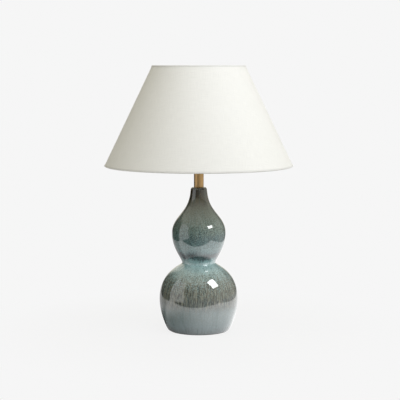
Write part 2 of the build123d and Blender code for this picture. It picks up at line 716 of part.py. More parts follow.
def make_shade_spider():
    """Washer on three arms, welded to the top ring."""
    washer = disc(WASHER_R, washer_z, WASHER_T)
    return washer + spider_arms() - disc(WASHER_BORE_R, washer_z - WASHER_R, 2 * WASHER_R) - ring(top_edge)


PIECES = {
    "ceramic_body": make_ceramic_body,
    "base_felt": make_base_felt,
    "base_plate": make_base_plate,
    "base_lock_washer": make_base_lock_washer,
    "base_nut": make_base_nut,
    "cord_grommet": make_cord_grommet,
    "threaded_rod": make_threaded_rod,
    "neck_bush": make_neck_bush,
    "neck_tube": make_neck_tube,
    "tube_cap": make_tube_cap,
    "harp_saddle": make_harp_saddle,
    "saddle_nut": make_saddle_nut,
    "harp": make_harp,
    "harp_ferrule_left": lambda: make_ferrule(-1),
    "harp_ferrule_right": lambda: make_ferrule(1),
    "harp_stud": make_harp_stud,
    "finial": make_finial,
    "socket_cap": make_socket_cap,
    "socket_set_screw": make_socket_set_screw,
    "socket_shell": make_socket_shell,
    "socket_sleeve": make_socket_sleeve,
    "socket_core": make_socket_core,
    "terminal_screws": make_terminal_screws,
    "screw_shell": make_screw_shell,
    "centre_contact": make_centre_contact,
    "switch_stem": make_switch_stem,
    "switch_key": make_switch_key,
    "bulb_cap": make_bulb_cap,
    "bulb_base": make_bulb_base,
    "bulb_tip": make_bulb_tip,
    "bulb_glass": make_bulb_glass,
    "shade_fabric": lambda: skin(0, FABRIC_T),
    "shade_liner": lambda: skin(FABRIC_T, LINER_T),
    "shade_top_ring": lambda: ring(top_edge),
    "shade_bottom_ring": lambda: ring(bottom_edge),
    "shade_top_trim": lambda: trim(top_edge) - spider_arms(),
    "shade_bottom_trim": lambda: trim(bottom_edge),
    "shade_spider": make_shade_spider,
}

os.makedirs("parts", exist_ok=True)
for name, make in PIECES.items():
    export_step(make(), f"parts/{name}.step")
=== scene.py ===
import json
import math

import bmesh
import bpy
import numpy as np
from bpy.props import FloatProperty, FloatVectorProperty, PointerProperty
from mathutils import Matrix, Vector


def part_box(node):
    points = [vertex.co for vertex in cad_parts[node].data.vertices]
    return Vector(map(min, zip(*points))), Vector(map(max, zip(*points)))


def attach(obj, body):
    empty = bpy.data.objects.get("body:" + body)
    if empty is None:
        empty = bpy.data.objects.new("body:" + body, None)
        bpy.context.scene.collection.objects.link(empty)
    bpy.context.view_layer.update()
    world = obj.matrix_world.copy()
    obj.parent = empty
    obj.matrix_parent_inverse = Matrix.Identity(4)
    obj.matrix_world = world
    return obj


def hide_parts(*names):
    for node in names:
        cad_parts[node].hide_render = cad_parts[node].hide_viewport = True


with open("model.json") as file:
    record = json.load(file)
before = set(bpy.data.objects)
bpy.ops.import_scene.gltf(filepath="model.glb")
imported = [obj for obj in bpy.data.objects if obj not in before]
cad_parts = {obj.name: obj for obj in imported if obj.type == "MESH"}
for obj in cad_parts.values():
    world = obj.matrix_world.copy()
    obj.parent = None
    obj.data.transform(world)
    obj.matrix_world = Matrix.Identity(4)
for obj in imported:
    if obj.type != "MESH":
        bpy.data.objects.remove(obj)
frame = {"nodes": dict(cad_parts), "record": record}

bl_info = {
    "name": "Double gourd lamp",
    "version": (1, 0, 0),
    "blender": (4, 5, 0),
    "location": "View3D > Sidebar > Lamp",
    "description": "Glazed body, brass neck, linen shade and bulb of a table lamp, with its studio",
    "category": "Object",
}

MM = 0.001
TURN = 2 * math.pi
PALE_BACKGROUND = 0.921      # linear grey of the paper backdrop
CURVE_POINTS = 41            # points of each curve of the body's outline
RIM_POINTS = 13              # points of its last curve, over the rim
EDGE_POINTS = 4              # points at its start that the foot's rounded edge replaces
BAR_ENDS = (40 * MM, 100 * MM)  # where the bar that bores the cord's hole starts and ends, along Y
SEAM_LIFT = 0.35 * MM        # how far the lapped seam stands out
SEAM_SLOPE = 1 * MM          # width over which it rises
RING_ROOM = 0.3 * MM         # room between each ring and its binding
GATHER = 0.06 * MM           # half height of the bindings' gathers
GATHER_COUNTS = (97, 61)     # gathers round an edge: two counts that drift in and out of step

# the studio: places in metres from the lamp's foot, azimuths in degrees from the camera's side, positive to
# the right
ROOM_RADIUS = 2.4
CEILING_LEVEL = 0.59
FLOOR_RADIUS = 9.0
FLOOR_DROP = 0.2 * MM
TABLE_END = 2.35
TABLE_LEFT = 0.655
TABLE_EDGES = (((-0.189, -0.982), 0.302), ((-1.0, 0.0), TABLE_LEFT), ((1.0, 0.0), 0.57))
PANEL_DISTANCE, PANEL_HEIGHT = 1.5, 1.6
SOFT_BOX_PLACE = (1.104, -0.717, 1.348)
SOFT_BOX_HALF_WIDTH, SOFT_BOX_HALF_HEIGHT, SOFT_BOX_ROLL = 0.34, 0.41, 8.0
DAYLIGHT = (0.9, 0.925, 1.0)
WARM_LIGHT = (1.0, 0.95, 0.78)
WARM_CARD = (1.0, 0.967, 0.85, 1.0)
CAMERA_PLACE = (0.0027, -2.990, 0.600)
CAMERA_DIP, CAMERA_LENS, CAMERA_SENSOR = 5.784, 119.6, 36.0


# ---------------------------------------------------------------- colours and properties
def linear(code):
    """Linear RGBA of an sRGB hex colour: each channel c becomes c/12.92 or ((c + 0.055)/1.055)^2.4."""
    srgb = np.array([int(code[i : i + 2], 16) for i in (1, 3, 5)]) / 255
    bright = ((srgb + 0.055) / 1.055) ** 2.4
    return (*np.where(srgb <= 0.04045, srgb / 12.92, bright).tolist(), 1.0)


def length(name, description, default):
    """Length property, in metres."""
    return FloatProperty(
        name=name, description=description, default=default, min=0, unit="LENGTH", precision=5
    )


def share(name, description, default):
    """Property for a part of a whole, from 0 to 1."""
    return FloatProperty(
        name=name, description=description, default=default, min=0, max=1, subtype="FACTOR"
    )


def watts(name, description, default):
    """Property for the power of a light."""
    return FloatProperty(name=name, description=description, default=default, min=0, unit="POWER")


def brightness(name, description, default):
    """Property for a level in reflections, where 1 is white."""
    return FloatProperty(name=name, description=description, default=default, min=0)


def tint(name, description, code):
    """Colour property whose default is an sRGB hex colour."""
    return FloatVectorProperty(
        name=name, description=description, default=linear(code), size=4, min=0, max=1, subtype="COLOR"
    )


body_low, body_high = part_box("ceramic_body")
felt_low, felt_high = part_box("base_felt")
tube_low, tube_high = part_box("neck_tube")
cover_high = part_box("shade_fabric")[1]
grommet_low, grommet_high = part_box("cord_grommet")


class LampBodySizes(bpy.types.PropertyGroup):
    foot: length("Foot", "Radius of the ceramic where it stands", 70.0 * MM)
    belly: length("Belly", "Radius of the lower gourd at its widest", 89.2 * MM)
    waist: length("Waist", "Radius between the two gourds", 38.0 * MM)
    bulb: length("Upper gourd", "Radius of the upper gourd at its widest", 60.9 * MM)
    throat: length("Throat", "Radius where the shoulder turns into the neck", 34.5 * MM)
    collar: length("Collar", "Radius just under the rim", 18.5 * MM)
    rim: length("Rim", "Radius of the flat inside the rounded rim", 14.0 * MM)
    wall: length("Wall", "Thickness of the fired clay", 5.0 * MM)
    recess: length("Recess", "Height of the hollow under the floor", 18.0 * MM)
    floor: length("Floor", "Thickness of the floor over the recess", 6.0 * MM)
    bore: length("Bore", "Radius of the rod's hole at the top", 7.6 * MM)
    floor_bore: length("Floor bore", "Radius of the rod's hole in the floor", 7.0 * MM)
    foot_edge: length("Foot edge", "Radius of the foot's rounded edge", 1.2 * MM)
    cord_hole: length("Cord hole", "Radius of the cord's hole at the back", 4.8 * MM)
    belly_level: share("Belly level", "Height of the belly as a share of the body's", 0.216)
    waist_level: share("Waist level", "Height of the waist as a share of the body's", 0.469)
    bulb_level: share("Upper gourd level", "Height of the upper gourd as a share of the body's", 0.675)
    throat_level: share("Throat level", "Height of the throat as a share of the body's", 0.84)
    collar_level: share("Collar level", "Height of the collar as a share of the body's", 0.98)


class LampShadeSizes(bpy.types.PropertyGroup):
    bottom: length("Bottom radius", "Outer radius of the cover's lower edge", 212.0 * MM)
    top: length("Top radius", "Outer radius of the cover's upper edge", 104.5 * MM)
    height: length("Height", "Height of the shade", 224.0 * MM)
    cloth: length("Cloth", "Thickness of the cover", 0.6 * MM)
    liner: length("Liner", "Thickness of the stiff liner", 0.5 * MM)
    binding: length("Binding", "Thickness of the binding", 0.6 * MM)
    band: length("Band", "How far the binding laps over the cover", 3.0 * MM)
    hem: length("Hem", "How far the binding laps over the liner", 6.0 * MM)
    ring: length("Ring", "Radius of the wire of both rings", 1.5 * MM)
    seam: length("Seam", "Width of the lapped seam at the back", 9.0 * MM)


class LampColours(bpy.types.PropertyGroup):
    brown: tint("Iron brown", "Glaze where it is thin and breaks", "#3B3A30")
    tan: tint("Tan", "Runs of the second glaze", "#8D8D7F")
    teal: tint("Teal", "Dark teal where the glaze has run thick", "#4A6668")
    dark: tint("Dark crystals", "Spots where the iron has gathered", "#1F2B2B")
    mist: tint("Mist", "Pale crystals in the teal", "#AACBCD")
    linen: tint("Linen", "Cloth of the shade", "#F3F3EF")
    brass: tint("Antique brass", "Satin brass of the neck", "#D8B27E")


class LampStudio(bpy.types.PropertyGroup):
    key_power: watts("Key light", "Power of the soft box at the right", 5.6)
    fill_power: watts("Fill light", "Power of the soft light by the camera", 12.5)
    left_power: watts("Left light", "Power of the warm light at the left", 4.2)
    back_power: watts("Back light", "Power of the soft light behind the lamp", 7.0)
    ambient: share("Ambient", "Level of the light from all round", 0.62)
    box_glow: brightness("Soft box in reflections", "Level of the soft box seen in the glaze", 9.0)
    floor_glow: brightness("Floor in reflections", "Level of the floor seen in the glaze", 1.1)
    panel_glow: brightness("Panel in reflections", "Level of the panel seen in the glaze", 0.85)
    shadow: share("Shadow", "Share of the floor's brightness that the lamp can shade", 0.08)


# ---------------------------------------------------------------- shapes
def bezier(start, first, second, end, count):
    """Cubic curve: the four control points weighed by the Bernstein polynomials of t."""
    t = np.linspace(0, 1, count)[:, None]
    return (
        (1 - t) ** 3 * start + 3 * (1 - t) ** 2 * t * first + 3 * (1 - t) * t**2 * second + t**3 * end
    )


def rounded(corners, radii, steps=6):
    """Polyline whose corners are arcs: each arc starts and ends where a circle of that radius touches
    the two sides, at radius times the tangent of half the turn from the corner."""
    corners = np.array(corners, float)
    points = [corners[:1]]
    for before, corner, after, radius in zip(corners, corners[1:], corners[2:], radii):
        into = (corner - before) / np.linalg.norm(corner - before)
        out = (after - corner) / np.linalg.norm(after - corner)
        turn = math.acos(np.clip(into @ out, -1, 1))
        reach = radius * math.tan(turn / 2)
        bend = np.linspace(0, turn, steps)[:, None]
        side = (out - into * (into @ out)) / math.sin(turn)
        start = corner - into * reach
        points.append(start + radius * (np.sin(bend) * into + (1 - np.cos(bend)) * side))
    points.append(corners[-1:])
    return np.vstack(points)


def grid_faces(rows, columns, closed_rows):
    """Quads of a grid whose columns wrap round, and whose rows wrap too if closed_rows."""
    row = np.arange(rows if closed_rows else rows - 1)[:, None]
    column = np.arange(columns)[None, :]
    below, above = row * columns, (row + 1) % rows * columns
    right = (column + 1) % columns
    return np.stack([below + column, below + right, above + right, above + column], -1).reshape(-1, 4)


def angles(count):
    """Evenly spaced angles of a full turn, starting at the back of the lamp."""
    return TURN / 4 + np.arange(count) * (TURN / count)


def lathe(profile, count):
    """Surface of revolution: (radius, height) point i is turned about Z by angle j."""
    turn = angles(count)
    radius, height = profile[:, :1], profile[:, 1:]
    points = [radius * np.cos(turn), radius * np.sin(turn), height + 0 * turn]
    return np.stack(points, -1).reshape(-1, 3)


def put(name, points, faces, finish, body=None, sharp=35, levels=None):
    """New object of a point array and a face array, smooth but for edges sharper than an angle in degrees.
    Points that fall together, as at a pole, are merged. Levels give each point a brightness."""
    mesh = bpy.data.meshes.new(name)
    mesh.from_pydata(points.tolist(), [], faces.tolist())
    if levels is not None:
        mesh.attributes.new("level", "FLOAT", "POINT").data.foreach_set("value", levels.ravel())
    work = bmesh.new()
    work.from_mesh(mesh)
    bmesh.ops.remove_doubles(work, verts=work.verts, dist=0.001 * MM)
    work.to_mesh(mesh)
    work.free()
    mesh.shade_smooth()
    mesh.set_sharp_from_angle(angle=math.radians(sharp))
    mesh.materials.append(finish)
    piece = bpy.data.objects.new(name, mesh)
    bpy.context.scene.collection.objects.link(piece)
    if body:
        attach(piece, body)
    return piece


def turned(name, profile, count, finish, body, sharp=35):
    """Lathe piece of a closed (radius, height) profile that runs up on the outside."""
    points = lathe(profile, count)
    return put(name, points, grid_faces(len(profile), count, True), finish, body, sharp)


# ---------------------------------------------------------------- materials
def add(tree, kind, inputs=None, stops=(), **settings):
    """Adds a node with its settings, the values or links of its inputs, and the stops of its ramp."""
    node = tree.nodes.new(kind)
    for key, value in settings.items():
        setattr(node, key, value)
    for key, value in (inputs or {}).items():
        if isinstance(value, bpy.types.NodeSocket):
            tree.links.new(value, node.inputs[key])
        else:
            node.inputs[key].default_value = value
    if stops:
        ramp = node.color_ramp.elements
        while len(ramp) < len(stops):
            ramp.new(1.0)
        for element, (position, level) in zip(ramp, stops):
            element.position = position
            element.color = level if hasattr(level, "__len__") else (level, level, level, 1)
    return node


def finish_of(name, **sockets):
    """Material with one Principled shader, its sockets set by name with spaces as underscores."""
    material = bpy.data.materials.new(name)
    material.use_nodes = True
    tree = material.node_tree
    shader = tree.nodes["Principled BSDF"]
    for key, value in sockets.items():
        shader.inputs[key.replace("_", " ")].default_value = value
    place = add(tree, "ShaderNodeTexCoord")
    return material, tree, shader, place.outputs["Object"]


def stoneware_glaze(colours):
    """Stoneware dipped in two reactive glazes and fired to a thick glassy skin: an iron brown that turns
    teal where it is thick, and a tan one that has run down over it. To the eye it has bands of colour from
    foot to neck, upright runs, speckle and a mirror gloss."""
    material, tree, shader, place = finish_of(
        "reactive_stoneware_glaze",
        Roughness=0.07,
        IOR=1.5,
        Coat_Weight=1.0,
        Coat_Roughness=0.012,
        Coat_IOR=1.75,
    )
    link = tree.links.new
    height = add(tree, "ShaderNodeSeparateXYZ", {0: place}).outputs[2]
    level = add(
        tree, "ShaderNodeMapRange", {0: height, 1: body_low.z, 2: body_high.z, 3: 0.0, 4: 1.0}
    ).outputs[0]
    # runs follow the slope, as their noise hardly changes with height: 2.2 mm wide on the belly and 14 mm
    # long. Crystals: 2.4 mm, drawn twice as coarse as the real ones so that they show. Drift: 35 mm.
    flat = add(tree, "ShaderNodeVectorMath", {0: place, 1: (1, 1, 0)}, operation="MULTIPLY").outputs[0]
    round_pot = add(tree, "ShaderNodeVectorMath", {0: flat}, operation="NORMALIZE").outputs[0]
    round_pot = add(tree, "ShaderNodeVectorMath", {0: round_pot, 3: 0.088}, operation="SCALE").outputs[0]
    fall = add(tree, "ShaderNodeVectorMath", {0: place, 1: (0, 0, 0.16)}, operation="MULTIPLY").outputs[0]
    course = add(tree, "ShaderNodeVectorMath", {0: round_pot, 1: fall}, operation="ADD").outputs[0]
    runs = add(tree, "ShaderNodeTexNoise", {"Vector": course, "Scale": 450, "Detail": 2}).outputs[0]
    wide = add(tree, "ShaderNodeTexNoise", {"Vector": course, "Scale": 130, "Detail": 1}).outputs[0]
    crystals = add(tree, "ShaderNodeTexNoise", {"Vector": place, "Scale": 420, "Detail": 1}).outputs[0]
    drift = add(tree, "ShaderNodeTexNoise", {"Vector": place, "Scale": 28, "Detail": 1}).outputs[0]
    # the ground from foot to neck: grey blue, olive where it breaks over the belly, pale turquoise where it
    # pools under the waist, then a nearly black band just above the waist that is a painted reflection of the
    # dark belly below, teal on the upper gourd, olive on the shoulder and iron brown at the neck. Its bands
    # change at a height that the runs and the drift make ragged.
    edge = add(tree, "ShaderNodeMath", {0: runs, 1: 0.06, 2: level}, operation="MULTIPLY_ADD").outputs[0]
    edge = add(tree, "ShaderNodeMath", {0: drift, 1: 0.05, 2: edge}, operation="MULTIPLY_ADD").outputs[0]
    edge = add(tree, "ShaderNodeMath", {0: edge, 1: 0.055}, operation="SUBTRACT").outputs[0]
    bands = {
        0.000: "#5C696C",
        0.050: "#788A8E",
        0.150: "#788788",
        0.210: "#636966",
        0.300: "#66695F",
        0.350: "#747C75",
        0.390: "#94A5A0",
        0.430: "#B4D0CF",
        0.470: "#9FC2C5",
        0.500: "#7C9EA2",
        # painted reflection: the nearly black stops from 0.507 to 0.541 stand for the dark belly mirrored
        # under the waist
        0.507: "#24424A",
        0.524: "#152D34",
        0.541: "#1A363D",
        0.555: "#4F7076",
        0.580: "#698A8C",
        0.650: "#4D696A",
        0.720: "#647B74",
        0.790: "#84928A",
        0.860: "#767B72",
        0.920: "#463F2C",
        0.970: "#20170B",
    }
    stops = [(position, linear(code)) for position, code in bands.items()]
    colour = add(tree, "ShaderNodeValToRGB", {0: edge}, stops=stops).outputs[0]
    run_zone = [
        (0.0, 0.05), (0.16, 0.1), (0.22, 0.95), (0.34, 0.8), (0.43, 0.35), (0.47, 0.05), (0.56, 0.1),
        (0.75, 0.35), (0.92, 0.1),
    ]
    dark_zone = [(0.05, 0.05), (0.3, 0.2), (0.42, 0.6), (0.55, 0.4), (0.68, 0.75), (0.85, 0.3)]
    mist_zone = [
        (0.0, 0.05), (0.25, 0.12), (0.36, 0.5), (0.44, 0.9), (0.5, 0.05), (0.56, 0.1), (0.7, 0.3),
        (0.9, 0.0),
    ]
    # each layer over the ground: its noise, the ramp that picks its spots from the noise, the heights where
    # it lies, and its colour
    layers = [
        (runs, [(0.5, 0.0), (0.58, 0.85)], run_zone, colours.tan),
        (runs, [(0.41, 0.8), (0.49, 0.0)], run_zone, colours.brown),
        (wide, [(0.54, 0.0), (0.68, 0.35)], None, colours.teal),
        (crystals, [(0.36, 0.75), (0.45, 0.0)], dark_zone, colours.dark),
        (crystals, [(0.53, 0.0), (0.61, 1.0)], mist_zone, colours.mist),
    ]
    for noise, spots, zone, tone in layers:
        amount = add(tree, "ShaderNodeValToRGB", {0: noise}, stops=spots).outputs[0]
        if zone:
            where = add(tree, "ShaderNodeValToRGB", {0: level}, stops=zone).outputs[0]
            amount = add(tree, "ShaderNodeMath", {0: amount, 1: where}, operation="MULTIPLY").outputs[0]
        mix = add(tree, "ShaderNodeMix", {0: amount, 6: colour, 7: tuple(tone)}, data_type="RGBA")
        colour = mix.outputs[2]
    link(colour, shader.inputs["Base Color"])
    # the melt's skin stays a little uneven: long swells of 30 mm
    swell = add(tree, "ShaderNodeTexNoise", {"Vector": place, "Scale": 34, "Detail": 1}).outputs[0]
    skin = add(tree, "ShaderNodeBump", {"Height": swell, "Strength": 0.5, "Distance": 0.5 * MM}).outputs[0]
    link(skin, shader.inputs["Normal"])
    link(skin, shader.inputs["Coat Normal"])
    return material


def laminated_linen(colours, name="laminated_linen", level=1.0):
    """Plain-weave linen laminated to its liner. To the eye it is a matt white cloth with faint slubs along
    both threads. A level below 1 darkens it as painted shade, as on the binding, so that its edge shows a
    dark line."""
    material, tree, shader, _ = finish_of(name, Roughness=0.92, Specular_IOR_Level=0.2, Sheen_Weight=0.08)
    link = tree.links.new
    place = add(tree, "ShaderNodeUVMap", uv_map="cloth").outputs[0]
    # slubs of 1.2 x 25 mm along each thread direction; the real 0.5 mm weave is too fine to show
    across = add(tree, "ShaderNodeMapping", {0: place, 3: (40, 800, 1)}).outputs[0]
    along = add(tree, "ShaderNodeMapping", {0: place, 3: (800, 40, 1)}).outputs[0]
    weft = add(tree, "ShaderNodeTexNoise", {"Vector": across, "Scale": 1.0, "Detail": 3}).outputs[0]
    warp = add(tree, "ShaderNodeTexNoise", {"Vector": along, "Scale": 1.0, "Detail": 3}).outputs[0]
    threads = add(tree, "ShaderNodeMath", {0: weft, 1: warp}, operation="ADD").outputs[0]
    shade = add(tree, "ShaderNodeMapRange", {0: threads, 1: 0.7, 2: 1.3, 3: 0.0, 4: 1.0}).outputs[0]
    bright = tuple(c * level for c in colours.linen[:3]) + (1,)
    dark = tuple(c * 0.93 for c in bright[:3]) + (1,)
    colour = add(tree, "ShaderNodeMix", {0: shade, 6: dark, 7: bright}, data_type="RGBA").outputs[2]
    link(colour, shader.inputs["Base Color"])
    weave = add(tree, "ShaderNodeBump", {"Height": threads, "Strength": 0.35, "Distance": 0.15 * MM})
    link(weave.outputs[0], shader.inputs["Normal"])
    return material


def metal(name, bright, roughness, grain, wear):
    """Metal of a linear colour. Its grain, in scratches per metre along X, Y and Z, varies its gloss, and its
    wear is the share by which tarnish darkens it in 6 mm clouds."""
    material, tree, shader, place = finish_of(name, Metallic=1.0)
    link = tree.links.new
    lines = add(tree, "ShaderNodeMapping", {0: place, 3: grain}).outputs[0]
    brushed = add(tree, "ShaderNodeTexNoise", {"Vector": lines, "Scale": 1.0, "Detail": 4}).outputs[0]
    tarnish = add(tree, "ShaderNodeTexNoise", {"Vector": place, "Scale": 160, "Detail": 3}).outputs[0]
    gloss = add(
        tree, "ShaderNodeMapRange", {0: brushed, 1: 0.3, 2: 0.7, 3: roughness * 0.8, 4: roughness * 1.25}
    ).outputs[0]
    link(gloss, shader.inputs["Roughness"])
    dull = tuple(c * (1 - wear) for c in bright[:3]) + (1,)
    colour = add(tree, "ShaderNodeMix", {0: tarnish, 6: bright, 7: dull}, data_type="RGBA").outputs[2]
    link(colour, shader.inputs["Base Color"])
    bump = add(tree, "ShaderNodeBump", {"Height": brushed, "Strength": 0.15, "Distance": 0.02 * MM})
    link(bump.outputs[0], shader.inputs["Normal"])
    return material


def mottled(name, code, other, scale, contrast, bump_mm, **sockets):
    """Dull or moulded material: two tones mixed by noise of that scale, with the same noise as its bump."""
    material, tree, shader, place = finish_of(name, **sockets)
    link = tree.links.new
    grain = add(tree, "ShaderNodeTexNoise", {"Vector": place, "Scale": scale, "Detail": 4}).outputs[0]
    mask = add(
        tree, "ShaderNodeMapRange", {0: grain, 1: 0.5 - contrast, 2: 0.5 + contrast, 3: 0.0, 4: 1.0}
    ).outputs[0]
    mix = add(tree, "ShaderNodeMix", {0: mask, 6: linear(code), 7: linear(other)}, data_type="RGBA")
    link(mix.outputs[2], shader.inputs["Base Color"])
    bump = add(tree, "ShaderNodeBump", {"Height": grain, "Strength": 0.5, "Distance": bump_mm * MM})
    link(bump.outputs[0], shader.inputs["Normal"])
    return material


# ---------------------------------------------------------------- operators
class LAMP_OT_glazed_body(bpy.types.Operator):
    """Throw the ceramic double gourd and glaze it"""

    bl_idname = "lamp.glazed_body"
    bl_label = "Glazed body"

    def outline(self, sizes):
        """Outside of the body: cubic curves between stations. Each station is a radius, a level and the two
        handles by which the curve arrives and leaves, as shares of the rise to its neighbour."""
        foot_z, top_z = body_low.z, body_high.z
        whole = top_z - foot_z
        up = np.array([0.0, 1.0])
        start = np.array([math.cos(math.radians(55)), math.sin(math.radians(55))])
        lean = np.array([-math.sin(math.radians(36)), math.cos(math.radians(36))])
        taper = np.array([-0.077, 1.0])
        stations = [
            (sizes.foot, 0.0, None, start * 0.086),
            (sizes.belly, sizes.belly_level, up * 0.478, up * 0.772),
            (sizes.waist, sizes.waist_level, up * 0.055, up * 0.15),
            (sizes.bulb, sizes.bulb_level, up * 0.52, up * 0.458),
            (sizes.throat, sizes.throat_level, lean * 0.383, lean * 0.209),
            (sizes.collar, sizes.collar_level, taper * 0.571, None),
        ]
        spans = []
        for (r0, s0, _, leave), (r1, s1, arrive, _) in zip(stations, stations[1:]):
            low = np.array([r0, foot_z + s0 * whole])
            high = np.array([r1, foot_z + s1 * whole])
            rise = high[1] - low[1]
            spans.append(bezier(low, low + leave * rise, high - arrive * rise, high, CURVE_POINTS)[:-1])
        rise = top_z - high[1]
        rim = np.array([sizes.rim, top_z])
        spans.append(bezier(high, high + taper * rise, rim, rim, RIM_POINTS))
        return np.vstack(spans)

    def execute(self, context):
        sizes = context.scene.lamp_body
        outer = self.outline(sizes)
        # the inside follows the outside, moved in by the wall at right angles to the curve
        along = np.gradient(outer, axis=0)
        across = np.stack([-along[:, 1], along[:, 0]], 1) / np.linalg.norm(along, axis=1)[:, None]
        inner = (outer + across * sizes.wall)[:-RIM_POINTS]
        foot_z = body_low.z
        floor_low = foot_z + sizes.recess
        floor_high = floor_low + sizes.floor

        def inner_r(z):
            return np.interp(z, inner[:, 1], inner[:, 0])

        # hidden from outside, the cavity and the recess take every fourth and every third point
        cavity = inner[inner[:, 1] > floor_high + 1 * MM][::-4]
        recess = inner[(inner[:, 1] > foot_z + 1 * MM) & (inner[:, 1] < floor_low - 1 * MM)][::-3]
        corners = [(inner_r(foot_z), foot_z), (sizes.foot, foot_z), tuple(outer[EDGE_POINTS])]
        round_foot = rounded(corners, [sizes.foot_edge])[1:-1]
        profile = np.vstack(
            [
                round_foot,
                outer[EDGE_POINTS:],
                [(sizes.bore, body_high.z), (sizes.bore, body_high.z - sizes.wall)],
                cavity,
                [(inner_r(floor_high), floor_high), (sizes.floor_bore, floor_high)],
                [(sizes.floor_bore, floor_low), (inner_r(floor_low), floor_low)],
                recess,
                [(inner_r(foot_z + 0.2 * MM), foot_z)],
            ]
        )
        glaze = stoneware_glaze(context.scene.lamp_colours)
        body = turned("glazed_body", profile, 256, glaze, "base", 40)
        self.bore_cord_hole(body, sizes.cord_hole)
        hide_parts("ceramic_body")
        return {"FINISHED"}

    def bore_cord_hole(self, body, radius):
        """Cuts the cord's hole through the back of the foot with a round bar along Y: a ring of points at
        each end, joined by a wall, and a fan from each end's middle."""
        z, sides = (grommet_low.z + grommet_high.z) / 2, 48
        turn = angles(sides)
        ends = np.array(BAR_ENDS)[:, None]
        ring = [radius * np.cos(turn) + 0 * ends, ends + 0 * turn, z + radius * np.sin(turn) + 0 * ends]
        points = np.stack(ring, -1).reshape(-1, 3)
        points = np.vstack([points, [[0, ends[0, 0], z], [0, ends[1, 0], z]]])
        wall = grid_faces(2, sides, False)
        step, after = np.arange(sides), (np.arange(sides) + 1) % sides
        near = np.stack([np.full(sides, 2 * sides), step, after], 1)
        far = np.stack([np.full(sides, 2 * sides + 1), sides + after, sides + step], 1)
        mesh = bpy.data.meshes.new("bar")
        mesh.from_pydata(points.tolist(), [], wall.tolist() + near.tolist() + far.tolist())
        work = bmesh.new()
        work.from_mesh(mesh)
        bmesh.ops.recalc_face_normals(work, faces=work.faces)
        work.to_mesh(mesh)
        work.free()
        bar = bpy.data.objects.new("bar", mesh)
        bpy.context.scene.collection.objects.link(bar)
        cut = body.modifiers.new("cord_hole", "BOOLEAN")
        cut.operation = "DIFFERENCE"
        cut.solver = "EXACT"
        cut.object = bar
        evaluated = body.evaluated_get(bpy.context.evaluated_depsgraph_get())
        bored = bpy.data.meshes.new_from_object(evaluated)
        body.modifiers.clear()
        bored.name = "glazed_body"
        body.data = bored
        bpy.data.objects.remove(bar)


